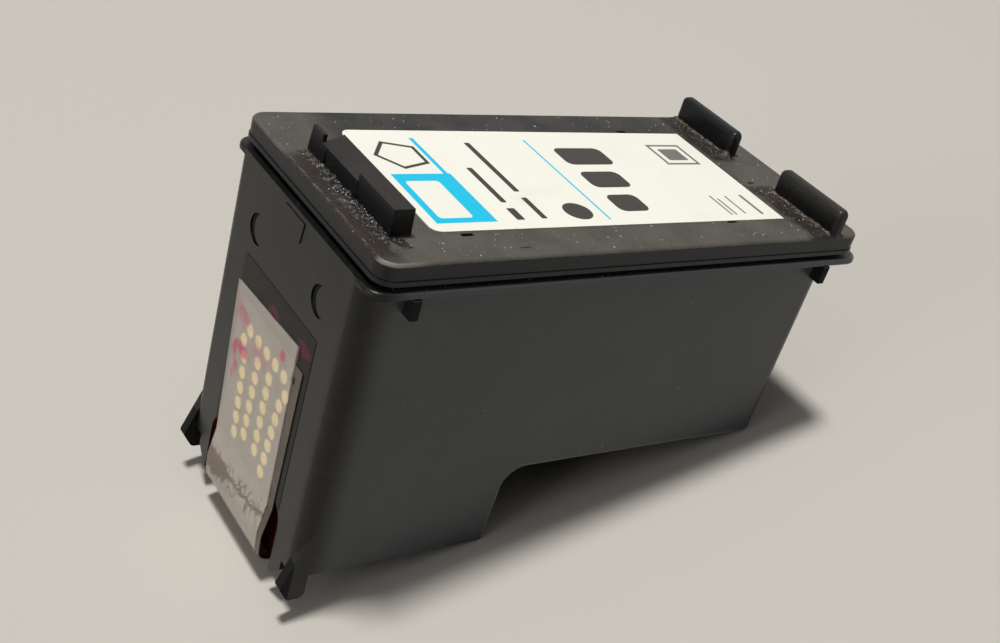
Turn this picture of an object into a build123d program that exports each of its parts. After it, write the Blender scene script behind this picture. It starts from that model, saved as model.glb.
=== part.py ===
import os
from math import atan2, degrees

from build123d import *

# Ink cartridge for an inkjet printer, in millimetres.
#
# Every piece is drawn level, as the cartridge sits in a printer: X runs from the wall with the
# contacts to the rear, Y across the width, and Z = 0 is the top face of the lid.
# Put down on a table, the cartridge tips back on to the rear edge of its snout and the rear
# edge of its case, so each finished piece is tipped by that angle before it is written.

os.makedirs("parts", exist_ok=True)

# Lid
lid_length = 71.9
lid_width = 34.0
lid_height = 2.6
lid_corner = 2.2
lid_top_round = 0.45
lid_plate = 1.6
lid_band_height = 0.55
lid_band_proud = 0.12

# Dark groove between the lid and the case flange
groove_height = 0.65
groove_depth = 0.9

# Flange round the top of the case
flange_thickness = 1.05
flange_side_proud = 0.35
flange_rear_proud = 1.3
flange_corner = 2.2
flange_round = 0.4
flange_underside_chamfer = 0.3

# Case
front_wall_proud = 0.8
case_side_inset = 1.4
case_rear_inset = 2.55
case_depth_front = 31.9
case_depth_rear = 32.5
case_corner = 2.0
snout_depth = 43.5
snout_rear_top = 26.35
snout_rear_bottom = 25.8
snout_fillet = 3.1
lower_edge_round = 0.4
wall = 1.5
front_wall = 2.5
cavity_corner = 1.0

# Ribs that stiffen the flange on both sides
rib_front = 4.45
rib_rear_inset = 2.65
rib_thickness = 1.0
rib_bottom = 6.8

# Ears that stand out at the lower front corners and locate the cartridge in its stall
ear_thickness = 1.3
ear_top = 35.8
ear_top_x = 1.0
ear_tip_x = -2.25
ear_tip = 44.6
ear_bottom = 46.75
ear_toe_x = -0.9
ear_heel_x = 1.25
ear_tip_round = 0.6
ear_foot_round = 0.9

# Headland under the snout, which carries the print head
headland_bottom = 46.7
headland_rear = 11.3
headland_chamfer = 0.8
headland_half_width = 12.4
headland_side_chamfer = 2.0

# Pocket in the front wall behind the bend of the film
bend_pocket_top = 36.8
bend_pocket_half_width = 10.0
bend_pocket_depth = 1.2
bend_pocket_corner = 3.5

# Moulded marks in the front wall
crescent_radius = 1.9
crescent_shift = (-0.5, 0.3)
crescent_depth = 0.9
crescent_places = [(7.9, -10.3), (-8.1, -9.8)]
key_mark_height = 0.12
key_mark_length = 2.1
key_mark_top = (-2.1, 2.7)
key_mark_bottom = (-1.8, 1.75)

# Print head
die_length = 8.0
die_width = 3.0
die_thickness = 0.65
die_centre_x = 5.6
die_clearance = 0.15
die_bond = 0.2
feed_slot_length = 5.6
feed_slot_width = 1.0
nozzle_plate_thickness = 0.08
nozzle_plate_margin = 0.3
window_clearance = 0.1
bead_width = 0.7
nozzle_diameter = 0.16
nozzle_sides = 6
nozzle_pitch = 0.5
nozzle_row_gap = 1.3

# Standpipe and filter
standpipe_length = 12.0
standpipe_width = 9.0
standpipe_wall = 1.0
standpipe_corner = 1.0
standpipe_height = 3.2
standpipe_shift = 3.0
filter_thickness = 0.2

# Foam block that holds the ink
foam_clearance = 0.1
foam_top = 6.0
foam_rib_thickness = 1.0
foam_rib_count = 7

# Flexible circuit
film_thickness = 0.12
film_half_width = 8.3
film_top = 19.2
film_leaves_wall = 38.8
film_corner = 0.35
film_bulge_x = -1.55
film_bulge_z = 43.0
film_chin_x = -1.3
film_bends = [6.0, 4.0, 1.4]
film_end_x = 10.3
film_hole = 1.0
film_hole_y = 6.6
film_hole_z = 21.1
bond_thickness = 0.05
bond_half_width = 9.4
bond_top = 14.1
bond_bottom = 38.0

# Contact pads
pad_diameter = 1.7
pad_height = 0.05
pad_sides = 12
pad_pitch = 2.08
pad_inner_y = 1.56
pad_outer_y = 4.95
pad_outer_lean = 0.2
pad_rows = 6
pad_inner_first = 24.6
pad_outer_first = 26.0
pad_top_row = 22.1
pad_top_count = 5
pad_top_pitch = 2.35
pad_shoulder = (5.8, 24.1)

# Protective tape, stuck on slightly askew
tape_thickness = 0.1
tape_near_top = (-6.4, -16.8)
tape_far_top = (9.4, -17.8)
tape_near_bottom = -7.4
tape_far_bottom = 7.7
tape_end_x = 9.6
tape_start = 14.0

# Latch on the lid
latch_front = 3.15
latch_back = 5.7
latch_height = 3.27
latch_draft = 0.25
latch_near = -11.8
latch_step = -4.0
latch_far = 4.6
latch_ramp_height = 2.3
latch_tail_far = 7.5
latch_tail_thickness = 0.5
latch_tail_root = 1.0
latch_tail_draft = 0.4

# Upright fins on the lid, near its rear edge
fin_rear_inset = 4.4
fin_thickness = 1.4
fin_height = 3.4
fin_inner = 4.75
fin_side_inset = 0.2
fin_top_corner = 0.8
fin_top_round = 0.8

# Label and what lies under it
label_front = 9.17
label_rear_inset = 10.13
label_half_width = 11.67
label_thickness = 0.12
label_front_corner = 1.3
label_rear_corner = 0.3
label_turn = -0.8
tongue_clearance = 0.15
tongue_height = 1.5
tongue_thickness = 1.2
vent_channel_width = 0.6
vent_channel_depth = 0.4
vent_turns = 7
vent_turn_pitch = 2.2
vent_turn_length = 14.0
fill_hole_diameter = 2.2
mouth_length = 1.6
mouth_width = 0.6
mouth_inset = 3.7
mouth_rear_inset = 9.4

# Worked out from the sizes above
groove_top = -lid_height
flange_top = groove_top - groove_height
flange_bottom = flange_top - flange_thickness
front_x = -front_wall_proud
lid_half = lid_width / 2
case_half_width = lid_half - case_side_inset
case_rear = lid_length - case_rear_inset
flange_half = lid_half + flange_side_proud
flange_rear = lid_length + flange_rear_proud
cavity_front = front_x + front_wall
cavity_rear = case_rear - wall
cavity_middle = (cavity_front + cavity_rear) / 2
cavity_half = case_half_width - wall
cavity_snout_rear = snout_rear_bottom - wall
cavity_floor = -(case_depth_front - wall)
snout_floor = -(snout_depth - wall)
standpipe_x = die_centre_x + standpipe_shift
standpipe_top = snout_floor + standpipe_height
filter_top = standpipe_top + filter_thickness
plate_length = die_length + 2 * nozzle_plate_margin
plate_width = die_width + 2 * nozzle_plate_margin
window_length = plate_length + 2 * bead_width
window_width = plate_width + 2 * window_clearance
film_inner_x = front_x - bond_thickness
film_outer_x = film_inner_x - film_thickness
ahead_of_film_x = 2 * film_bulge_x
tape_inner = film_thickness + pad_height
tape_outer = tape_inner + tape_thickness
tape_foot = headland_bottom + 2 * tape_outer
tongue_inset = tongue_clearance + tongue_thickness
foam_rib_spacing = (cavity_rear - cavity_front - 2 * tongue_inset) / foam_rib_count
fill_hole_spacing = 3 * foam_rib_spacing
rib_rear = case_rear - rib_rear_inset
fin_front = lid_length - fin_rear_inset - fin_thickness
fin_outer = lid_half - fin_side_inset
label_rear = lid_length - label_rear_inset
label_middle = (label_front + label_rear) / 2


def corner(builder, x, y):
    """The vertex of a sketch that lies nearest to (x, y)."""
    return builder.vertices().sort_by_distance((x, y, 0))[0]


def edge_across(builder, x, z):
    """The edge along Y of a part that lies nearest to (x, z)."""
    return builder.edges().filter_by(Axis.Y).sort_by_distance((x, 0, z))[0]


# Outer block of the case: deep snout in front, shallower reservoir behind

with BuildPart() as case_block:
    with BuildSketch(Plane.XZ.offset(-case_half_width)) as profile:
        with BuildLine():
            Polyline(
                (front_x, flange_top),
                (front_x, -snout_depth),
                (snout_rear_bottom, -snout_depth),
                (snout_rear_top, -case_depth_front),
                (case_rear, -case_depth_rear),
                (case_rear, flange_top),
                close=True,
            )
        make_face()
        fillet(corner(profile, snout_rear_top, -case_depth_front), snout_fillet)
    extrude(amount=2 * case_half_width)
    fillet(case_block.edges().filter_by(Axis.Z), case_corner)

    # The small round on the lower edges runs on round every corner that is tangent to these three
    fillet(
        [
            edge_across(case_block, front_x, -snout_depth),
            edge_across(case_block, snout_rear_bottom, -snout_depth),
            edge_across(case_block, case_rear, -case_depth_rear),
        ],
        lower_edge_round,
    )

# Room inside the case, open at the top

with BuildPart() as reservoir:
    with BuildSketch(Plane.XZ.offset(-cavity_half)):
        with BuildLine():
            Polyline(
                (cavity_front, flange_top),
                (cavity_front, snout_floor),
                (cavity_snout_rear, snout_floor),
                (cavity_snout_rear, cavity_floor),
                (cavity_rear, cavity_floor),
                (cavity_rear, flange_top),
                close=True,
            )
        make_face()
    extrude(amount=2 * cavity_half)
    fillet(reservoir.edges().filter_by(Axis.Z), cavity_corner)

# Outline of the pocket in the front wall, which leaves the bend of the film free

with BuildSketch(Plane.YZ.offset(front_x)) as bend_pocket:
    with Locations((0, -(bend_pocket_top + headland_bottom + bend_pocket_corner) / 2)):
        RectangleRounded(
            2 * bend_pocket_half_width,
            headland_bottom + bend_pocket_corner - bend_pocket_top,
            bend_pocket_corner,
        )

# Case, moulded in one piece

with BuildPart() as case:
    # Flange, with a rounded lip
    with BuildSketch(Plane.XY.offset(flange_top)):
        with Locations(((front_x + flange_rear) / 2, 0)):
            RectangleRounded(flange_rear - front_x, 2 * flange_half, flange_corner)
    extrude(amount=-flange_thickness)
    flange_underside, flange_upper_side = case.edges().filter_by(Plane.XY).group_by(Axis.Z)
    fillet(flange_upper_side, flange_round)
    chamfer(flange_underside, flange_underside_chamfer)
    add(case_block.part)

    # Headland, chamfered at its ends and its rear
    with BuildSketch(Plane.YZ.offset(front_x)):
        with BuildLine():
            Polyline(
                (-headland_half_width, snout_floor),
                (-headland_half_width, -headland_bottom + headland_side_chamfer),
                (-headland_half_width + headland_side_chamfer, -headland_bottom),
                (headland_half_width - headland_side_chamfer, -headland_bottom),
                (headland_half_width, -headland_bottom + headland_side_chamfer),
                (headland_half_width, snout_floor),
                close=True,
            )
        make_face()
    extrude(amount=headland_rear - front_x)
    chamfer(edge_across(case, headland_rear, -headland_bottom), headland_chamfer)

    # Ears in the planes of both side walls
    for side in (-1, 1):
        with BuildSketch(Plane.XZ.offset(-side * case_half_width)) as ear:
            with BuildLine():
                Polyline(
                    (ear_top_x, -ear_top),
                    (ear_tip_x, -ear_tip),
                    (ear_toe_x, -ear_bottom),
                    (ear_heel_x, -ear_bottom),
                    (ear_heel_x, snout_floor),
                    (ear_heel_x + wall, -ear_top),
                    close=True,
                )
            make_face()
            fillet(corner(ear, ear_tip_x, -ear_tip), ear_tip_round)
            fillet(corner(ear, ear_toe_x, -ear_bottom), ear_foot_round)
            fillet(corner(ear, ear_heel_x, -ear_bottom), ear_foot_round)
        extrude(amount=side * ear_thickness)

    # Ribs between the flange and the side walls
    for rib_x in (rib_front, rib_rear):
        with BuildSketch(Plane.YZ.offset(rib_x)):
            with Locations((0, (flange_bottom - rib_bottom) / 2)):
                Rectangle(2 * flange_half, rib_bottom + flange_bottom)
        extrude(amount=rib_thickness)

    add(reservoir.part, mode=Mode.SUBTRACT)

    # Standpipe that draws the ink from the foam
    with BuildSketch(Plane.XY.offset(snout_floor)):
        with Locations((standpipe_x, 0)):
            RectangleRounded(standpipe_length, standpipe_width, standpipe_corner)
    extrude(amount=standpipe_height)
    with BuildSketch(Plane.XY.offset(standpipe_top)):
        with Locations((standpipe_x, 0)):
            RectangleRounded(
                standpipe_length - 2 * standpipe_wall,
                standpipe_width - 2 * standpipe_wall,
                standpipe_corner / 2,
            )
    extrude(amount=-standpipe_height, mode=Mode.SUBTRACT)

    # Pocket for the die and the slot that feeds it
    with BuildSketch(Plane.XY.offset(-headland_bottom)):
        with Locations((die_centre_x, 0)):
            Rectangle(die_length + 2 * die_clearance, die_width + 2 * die_clearance)
    extrude(amount=die_thickness + die_bond, mode=Mode.SUBTRACT)
    with BuildSketch(Plane.XY.offset(-headland_bottom)):
        with Locations((die_centre_x, 0)):
            Rectangle(feed_slot_length, feed_slot_width)
    extrude(amount=headland_bottom + snout_floor, mode=Mode.SUBTRACT)

    # Pocket behind the bend of the film
    extrude(bend_pocket.sketch, amount=bend_pocket_depth, mode=Mode.SUBTRACT)

    # Crescent marks
    for y, z in crescent_places:
        with BuildSketch(Plane.YZ.offset(front_x)):
            with Locations((y, z)):
                Circle(crescent_radius)
            with Locations((y + crescent_shift[0], z + crescent_shift[1])):
                Circle(crescent_radius, mode=Mode.SUBTRACT)
        extrude(amount=crescent_depth, mode=Mode.SUBTRACT)

    # Raised keying mark under the flange
    key_mark_high = flange_bottom + flange_round
    key_mark_low = flange_bottom - key_mark_length
    with BuildSketch(Plane.YZ.offset(front_x)):
        with BuildLine():
            Polyline(
                (key_mark_top[0], key_mark_high),
                (key_mark_bottom[0], key_mark_low),
                (key_mark_bottom[1], key_mark_low),
                (key_mark_top[1], key_mark_high),
                close=True,
            )
        make_face()
    extrude(amount=-key_mark_height)

# One of the two upright fins of the lid

with BuildPart() as fin:
    with BuildSketch(Plane.YZ.offset(fin_front)) as fin_face:
        with BuildLine():
            Polyline(
                (fin_inner, -lid_plate / 2),
                (fin_inner, fin_height),
                (fin_outer, fin_height),
                (fin_outer, -lid_plate / 2),
                close=True,
            )
        make_face()
        fillet(corner(fin_face, fin_inner, fin_height), fin_top_corner)
        fillet(corner(fin_face, fin_outer, fin_height), fin_top_corner)
    extrude(amount=fin_thickness)
    fillet(edge_across(fin, fin_front, fin_height), fin_top_round)

# Latch: a block, a half with a ramped top and a thin upright tail

with BuildPart() as latch:
    for start, end, front_height in (
        (latch_near, latch_step, latch_height),
        (latch_step, latch_far, latch_ramp_height),
    ):
        with BuildSketch(Plane.XZ.offset(-start)):
            with BuildLine():
                Polyline(
                    (latch_front, front_height),
                    (latch_back, latch_height),
                    (latch_back + latch_draft, -lid_plate / 2),
                    (latch_front + latch_draft, -lid_plate / 2),
                    close=True,
                )
            make_face()
        extrude(amount=start - end)
    with BuildSketch(Plane.YZ.offset(latch_front)):
        with BuildLine():
            Polyline(
                (latch_far - latch_tail_root, 0),
                (latch_far - latch_tail_root, latch_ramp_height),
                (latch_far, latch_ramp_height),
                (latch_far, latch_height),
                (latch_tail_far - latch_tail_draft, latch_height),
                (latch_tail_far, 0),
                close=True,
            )
        make_face()
    extrude(amount=latch_tail_thickness)

# Lid, moulded in one piece

with BuildPart() as lid:
    with BuildSketch(Plane.XY):
        with Locations((lid_length / 2, 0)):
            RectangleRounded(lid_length, lid_width, lid_corner)
    extrude(amount=-lid_height)
    fillet(lid.edges().filter_by(Plane.XY).group_by(Axis.Z)[-1], lid_top_round)

    # Slightly proud band along the foot of the skirt
    with BuildSketch(Plane.XY.offset(groove_top)):
        with Locations((lid_length / 2, 0)):
            RectangleRounded(
                lid_length + 2 * lid_band_proud,
                lid_width + 2 * lid_band_proud,
                lid_corner + lid_band_proud,
            )
    extrude(amount=lid_band_height)

    # Neck that stands on the flange and leaves the dark groove
    with BuildSketch(Plane.XY.offset(groove_top)):
        with Locations((lid_length / 2, 0)):
            RectangleRounded(
                lid_length - 2 * groove_depth, lid_width - 2 * groove_depth, lid_corner / 2
            )
    extrude(amount=-groove_height)

    # Tongue that fits in the mouth of the case
    with BuildSketch(Plane.XY.offset(flange_top)):
        with Locations((cavity_middle, 0)):
            RectangleRounded(
                cavity_rear - cavity_front - 2 * tongue_clearance,
                2 * (cavity_half - tongue_clearance),
                cavity_corner,
            )
    extrude(amount=-tongue_height)
    with BuildSketch(Plane.XY.offset(-lid_plate)):
        with Locations((cavity_middle, 0)):
            Rectangle(
                cavity_rear - cavity_front - 2 * tongue_inset, 2 * (cavity_half - tongue_inset)
            )
    extrude(amount=-(lid_height + groove_height + tongue_height), mode=Mode.SUBTRACT)

    # Ribs that hold the foam down
    with BuildSketch(Plane.XY.offset(-lid_plate)):
        with Locations((cavity_middle, 0)):
            with GridLocations(foam_rib_spacing, 0, foam_rib_count, 1):
                Rectangle(foam_rib_thickness, 2 * (cavity_half - tongue_inset))
    extrude(amount=lid_plate - foam_top)

    add(latch.part)
    add(fin.part)
    mirror(fin.part, about=Plane.XZ)

    # Vent channel and channel mouths, sealed by the label and open only beyond its edge
    with BuildSketch(Plane.XY):
        with Locations((label_middle, 0)):
            with GridLocations(vent_turn_pitch, 0, vent_turns, 1):
                Rectangle(vent_channel_width, vent_turn_length)
        for turn in range(vent_turns - 1):
            turn_x = label_middle + (turn + 1 - vent_turns / 2) * vent_turn_pitch
            turn_y = (vent_turn_length - vent_channel_width) / 2 * (1 if turn % 2 else -1)
            with Locations((turn_x, turn_y)):
                Rectangle(vent_turn_pitch, vent_channel_width)
        for mouth_x in (label_front + mouth_inset, label_rear - mouth_rear_inset):
            for side in (-1, 1):
                with Locations((mouth_x, side * (label_half_width + mouth_width / 2))):
                    Rectangle(mouth_length, mouth_width)
    extrude(amount=-vent_channel_depth, mode=Mode.SUBTRACT)

    # Fill holes, midway between the ribs
    with BuildSketch(Plane.XY):
        with Locations((cavity_middle, 0)):
            with GridLocations(fill_hole_spacing, 0, 2, 1):
                Circle(fill_hole_diameter / 2)
    extrude(amount=-lid_plate, mode=Mode.SUBTRACT)

# Label on the lid, stuck on slightly askew

with BuildPart() as label:
    with BuildSketch(Plane.XY) as label_face:
        with Locations(Location((label_middle, 0), label_turn)):
            Rectangle(label_rear - label_front, 2 * label_half_width)
        label_corners = label_face.vertices().sort_by(Axis.X)
        fillet(label_corners[:2], label_front_corner)
        fillet(label_corners[2:], label_rear_corner)
    extrude(amount=label_thickness)

# Foam block, which fills the case and is pressed on to the filter

with BuildPart() as foam:
    with BuildSketch(Plane.XZ.offset(-(cavity_half - foam_clearance))):
        with BuildLine():
            Polyline(
                (cavity_front + foam_clearance, -foam_top),
                (cavity_front + foam_clearance, filter_top),
                (cavity_snout_rear - foam_clearance, filter_top),
                (cavity_snout_rear - foam_clearance, cavity_floor),
                (cavity_rear - foam_clearance, cavity_floor),
                (cavity_rear - foam_clearance, -foam_top),
                close=True,
            )
        make_face()
    extrude(amount=2 * (cavity_half - foam_clearance))
    fillet(foam.edges().filter_by(Axis.Z), cavity_corner)

# Filter on the standpipe

with BuildPart() as filter_screen:
    with BuildSketch(Plane.XY.offset(standpipe_top)):
        with Locations((standpipe_x, 0)):
            RectangleRounded(standpipe_length, standpipe_width, standpipe_corner)
    extrude(amount=filter_thickness)

# Flexible circuit: a film down the front wall, round the headland and under it

film_route = [
    (film_inner_x, -tape_start),
    (film_inner_x, -film_leaves_wall),
    (film_bulge_x, -film_bulge_z),
    (film_chin_x, -headland_bottom),
    (film_end_x, -headland_bottom),
]

with BuildPart() as flex_film:
    with BuildSketch(Plane.XZ.offset(-film_half_width)):
        with BuildLine():
            FilletPolyline(*film_route, radius=film_bends)
            offset(amount=film_thickness, side=Side.RIGHT)
        make_face()
    extrude(amount=2 * film_half_width)

    # Square upper end, with two alignment holes
    with BuildSketch(Plane.YZ.offset(film_bulge_x)):
        with Locations((0, -(tape_start + film_top) / 2)):
            Rectangle(2 * film_half_width, film_top - tape_start)
        with Locations((0, -film_hole_z)):
            with GridLocations(2 * film_hole_y, 0, 2, 1):
                Rectangle(film_hole, film_hole)
    extrude(amount=-film_bulge_x, mode=Mode.SUBTRACT)
    fillet(flex_film.edges().filter_by(Axis.X).group_by(Axis.Z)[-1], film_corner)

    # Window round the nozzle plate
    with BuildSketch(Plane.XY.offset(-headland_bottom)):
        with Locations((die_centre_x, 0)):
            Rectangle(window_length, window_width)
    extrude(amount=-film_thickness, mode=Mode.SUBTRACT)

# Adhesive film that holds the circuit to the wall, open over the pocket

with BuildPart() as circuit_bond:
    with BuildSketch(Plane.YZ.offset(front_x)):
        with Locations((0, -(bond_top + bond_bottom) / 2)):
            Rectangle(2 * bond_half_width, bond_bottom - bond_top)
        add(bend_pocket.sketch_local, mode=Mode.SUBTRACT)
    extrude(amount=-bond_thickness)

# Gold contact pads on the film

with BuildPart() as contact_pads:
    with BuildSketch(Plane.YZ.offset(film_outer_x)):
        # Two upright columns in the middle, and an outer one on each side that leans inwards
        for side in (-1, 1):
            for row in range(pad_rows):
                with Locations(
                    (side * pad_inner_y, -(pad_inner_first + row * pad_pitch)),
                    (side * (pad_outer_y - row * pad_outer_lean), -(pad_outer_first + row * pad_pitch)),
                ):
                    RegularPolygon(pad_diameter / 2, pad_sides)
            with Locations((side * pad_shoulder[0], -pad_shoulder[1])):
                RegularPolygon(pad_diameter / 2, pad_sides)
        with Locations((0, -pad_top_row)):
            with GridLocations(pad_top_pitch, 0, pad_top_count, 1):
                RegularPolygon(pad_diameter / 2, pad_sides)
    extrude(amount=-pad_height)

# Protective tape over the contacts and the nozzles, stuck on slightly askew

with BuildPart() as tape:
    with BuildSketch(Plane.XZ.offset(-tape_far_top[0])):
        with BuildLine():
            FilletPolyline(*film_route, radius=film_bends)
            offset(amount=tape_outer, side=Side.RIGHT)
        make_face()
        with BuildLine():
            FilletPolyline(*film_route, radius=film_bends)
            offset(amount=tape_inner, side=Side.RIGHT)
        make_face(mode=Mode.SUBTRACT)
    extrude(amount=tape_far_top[0] + headland_half_width)
    with BuildSketch(Plane.YZ.offset(ahead_of_film_x)):
        with BuildLine():
            Polyline(
                tape_near_top,
                tape_far_top,
                (tape_far_bottom, -tape_foot),
                (tape_near_bottom, -tape_foot),
                close=True,
            )
        make_face()
    extrude(amount=tape_end_x - ahead_of_film_x, mode=Mode.INTERSECT)

# Silicon die in the headland, with the glue behind it

with BuildPart() as die:
    with BuildSketch(Plane.XY.offset(-headland_bottom)):
        with Locations((die_centre_x, 0)):
            Rectangle(die_length, die_width)
            Rectangle(feed_slot_length, feed_slot_width / 2, mode=Mode.SUBTRACT)
    extrude(amount=die_thickness)

with BuildPart() as die_glue:
    with BuildSketch(Plane.XY.offset(-headland_bottom + die_thickness)):
        with Locations((die_centre_x, 0)):
            Rectangle(die_length, die_width)
            Rectangle(feed_slot_length, feed_slot_width, mode=Mode.SUBTRACT)
    extrude(amount=die_bond)

# Nozzle plate on the face of the die, with two rows of nozzles

with BuildPart() as nozzle_plate:
    with BuildSketch(Plane.XY.offset(-headland_bottom)):
        with Locations((die_centre_x, 0)):
            Rectangle(plate_length, plate_width)
            with GridLocations(nozzle_pitch, nozzle_row_gap, int(feed_slot_length / nozzle_pitch), 2):
                RegularPolygon(nozzle_diameter / 2, nozzle_sides, mode=Mode.SUBTRACT)
    extrude(amount=-nozzle_plate_thickness)

# Beads of sealant over the joints at both ends of the nozzle plate

bead_offset = (plate_length + bead_width) / 2

with BuildPart() as sealant_front:
    with BuildSketch(Plane.XY.offset(-headland_bottom)):
        with Locations((die_centre_x - bead_offset, 0)):
            Rectangle(bead_width, window_width)
    extrude(amount=-film_thickness)

with BuildPart() as sealant_rear:
    with BuildSketch(Plane.XY.offset(-headland_bottom)):
        with Locations((die_centre_x + bead_offset, 0)):
            Rectangle(bead_width, window_width)
    extrude(amount=-film_thickness)

# How the cartridge rests: tipped back until the lower rear edges of its snout and of its case,
# which have the same round, lie on one level

rounds_across = case_block.faces().filter_by(
    lambda face: face.geom_type == GeomType.CYLINDER and abs(face.axis_of_rotation.direction.Y) > 0.9
)
resting_rounds = [face for face in rounds_across.sort_by(Axis.X) if face.radius < snout_fillet][-2:]
snout_edge, rear_edge = (face.axis_of_rotation.position for face in resting_rounds)
rest_tilt = degrees(atan2(rear_edge.Z - snout_edge.Z, rear_edge.X - snout_edge.X))
tip = Location((0, 0, 0), (0, rest_tilt, 0))

pieces = {
    "case": case,
    "lid": lid,
    "label": label,
    "foam": foam,
    "filter_screen": filter_screen,
    "circuit_bond": circuit_bond,
    "flex_film": flex_film,
    "contact_pads": contact_pads,
    "tape": tape,
    "die": die,
    "die_glue": die_glue,
    "nozzle_plate": nozzle_plate,
    "sealant_front": sealant_front,
    "sealant_rear": sealant_rear,
}
extent = Compound(children=[piece.part.moved(tip) for piece in pieces.values()]).bounding_box()
rest = Location((-extent.center().X, -extent.center().Y, -extent.min.Z)) * tip
print("tilt", rest_tilt, "origin", rest.position, "size", extent.size)

for name, piece in pieces.items():
    piece.part.move(rest)
    piece.part.label = name
    export_step(piece.part, f"parts/{name}.step")
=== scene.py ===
# %% [markdown]
# # An inkjet cartridge, put down on a pale floor
#
# The solids of the cartridge come ready made and stay as they are. This script gives each of them
# its finish, adds the small things that make the object look used (dried ink, dust, stains), and
# sets up the light and the camera.

from math import atan2, cos, degrees, radians, sin

import bpy
import numpy as np
from mathutils import Matrix, Vector


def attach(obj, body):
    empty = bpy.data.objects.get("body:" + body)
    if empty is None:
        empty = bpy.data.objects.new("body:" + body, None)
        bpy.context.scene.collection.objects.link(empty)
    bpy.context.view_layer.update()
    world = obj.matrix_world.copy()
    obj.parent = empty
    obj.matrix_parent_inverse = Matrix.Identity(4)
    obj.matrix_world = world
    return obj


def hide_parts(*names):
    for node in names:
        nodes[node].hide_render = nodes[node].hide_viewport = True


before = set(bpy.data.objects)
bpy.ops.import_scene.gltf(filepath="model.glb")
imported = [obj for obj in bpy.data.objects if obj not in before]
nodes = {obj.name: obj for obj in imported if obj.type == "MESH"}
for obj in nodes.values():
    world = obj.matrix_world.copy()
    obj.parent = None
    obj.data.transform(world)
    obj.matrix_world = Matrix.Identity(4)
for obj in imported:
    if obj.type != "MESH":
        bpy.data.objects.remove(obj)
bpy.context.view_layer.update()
print("nodes", sorted(nodes))

# %% [markdown]
# ## Two frames
#
# The cartridge lies tipped back on its snout, but it was drawn level: x from the wall with the
# contacts to the rear, y across, and z = 0 on the top of the lid. Every pattern and every new
# piece is easier to place in that level frame, in millimetres. The label is a flat plate on the
# lid, so the direction of its largest faces gives the tilt, and the lid gives the origin.

# %% The level frame, read from the label and the lid
MM = 0.001
lid_band_proud = 0.12


def node_points(name):
    """The vertices of a solid as an array of metres."""
    mesh = nodes[name].data
    points = np.empty(3 * len(mesh.vertices), np.float32)
    mesh.vertices.foreach_get("co", points)
    return points.reshape(-1, 3).astype(float)


def face_normals(name):
    """The normals and areas of a solid's triangles."""
    mesh = nodes[name].data
    normals = np.empty(3 * len(mesh.polygons), np.float32)
    areas = np.empty(len(mesh.polygons), np.float32)
    mesh.polygons.foreach_get("normal", normals)
    mesh.polygons.foreach_get("area", areas)
    return normals.reshape(-1, 3), areas


normals, areas = face_normals("label")
facing_up = normals[:, 2] > 0.9
up = (normals[facing_up] * areas[facing_up, None]).sum(0)
tilt = atan2(up[0], up[2])
turn_level = np.array(Matrix.Rotation(-tilt, 3, "Y"))
level_lid = node_points("lid") @ turn_level.T
level_label = node_points("label") @ turn_level.T
level_origin = np.array([level_lid[:, 0].min() + lid_band_proud * MM, 0, level_label[:, 2].min()])
print("tilt", round(degrees(tilt), 3), "degrees; origin", level_origin.round(5))


def to_rest(points):
    """Points of the level frame, in millimetres, as points of the rest frame, in metres."""
    return (np.asarray(points, float) * MM + level_origin) @ turn_level


def level_points(name):
    """The vertices of a solid as an array of level millimetres."""
    return (node_points(name) @ turn_level.T - level_origin) / MM


case_points = level_points("case")
print("case from", case_points.min(0).round(2), "to", case_points.max(0).round(2), "mm, level")

# %% [markdown]
# ## Camera, floor and light
#
# The camera's place comes from fitting the edges of the lid and the case to the photograph, and
# is counted from the front edge of the lid. A camera can be set with Euler angles, but a place, a
# point it looks at and a roll are easier to read. Its picture is shifted a little, because the
# photograph was cropped off centre.

# %% Camera
lid_corner = Vector(to_rest((0, 0, 0)))
camera_place = lid_corner + Vector((-49.23, -112.39, 77.23)) * MM
camera_aim = lid_corner + Vector((17.69, -18.24, -23.42)) * MM
camera_roll = radians(5.12)

camera = bpy.data.objects.new("camera", bpy.data.cameras.new("camera"))
bpy.context.scene.collection.objects.link(camera)
bpy.context.scene.camera = camera
camera.data.lens = 47.82
camera.data.sensor_width = 36.0
camera.data.shift_x = -0.0270
camera.data.shift_y = 0.0756
camera.data.clip_start = 0.005
camera.data.clip_end = 50

forward = (camera_aim - camera_place).normalized()
level_right = forward.cross(Vector((0, 0, 1))).normalized()
level_up = level_right.cross(forward)
right = cos(camera_roll) * level_right + sin(camera_roll) * level_up
upward = cos(camera_roll) * level_up - sin(camera_roll) * level_right
camera.matrix_world = Matrix.Translation(camera_place) @ Matrix(
    (right, upward, -forward)
).transposed().to_4x4()
print("camera looks down by", round(degrees(-forward.z), 1))

# %% [markdown]
# The floor is one large pale disc, so that it fills the picture from every side. A small lamp
# hangs overhead, a little behind, so the shadows are short and end in a clean edge, and a weaker,
# wider one stands low on the left and lights the wall with the contacts.


# %% Floor and lamps
def area_lamp(name, place, aim, size, strength, colour):
    """A square lamp at a place, turned to a point; sizes in metres and strength in watts."""
    lamp = bpy.data.lights.new(name, "AREA")
    lamp.size = size
    lamp.energy = strength
    lamp.color = colour
    holder = bpy.data.objects.new(name, lamp)
    bpy.context.scene.collection.objects.link(holder)
    holder.location = place
    holder.rotation_euler = (Vector(aim) - Vector(place)).to_track_quat("-Z", "Y").to_euler()
    print(name, "lamp", strength, "W,", size, "m wide, at", place)


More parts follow.
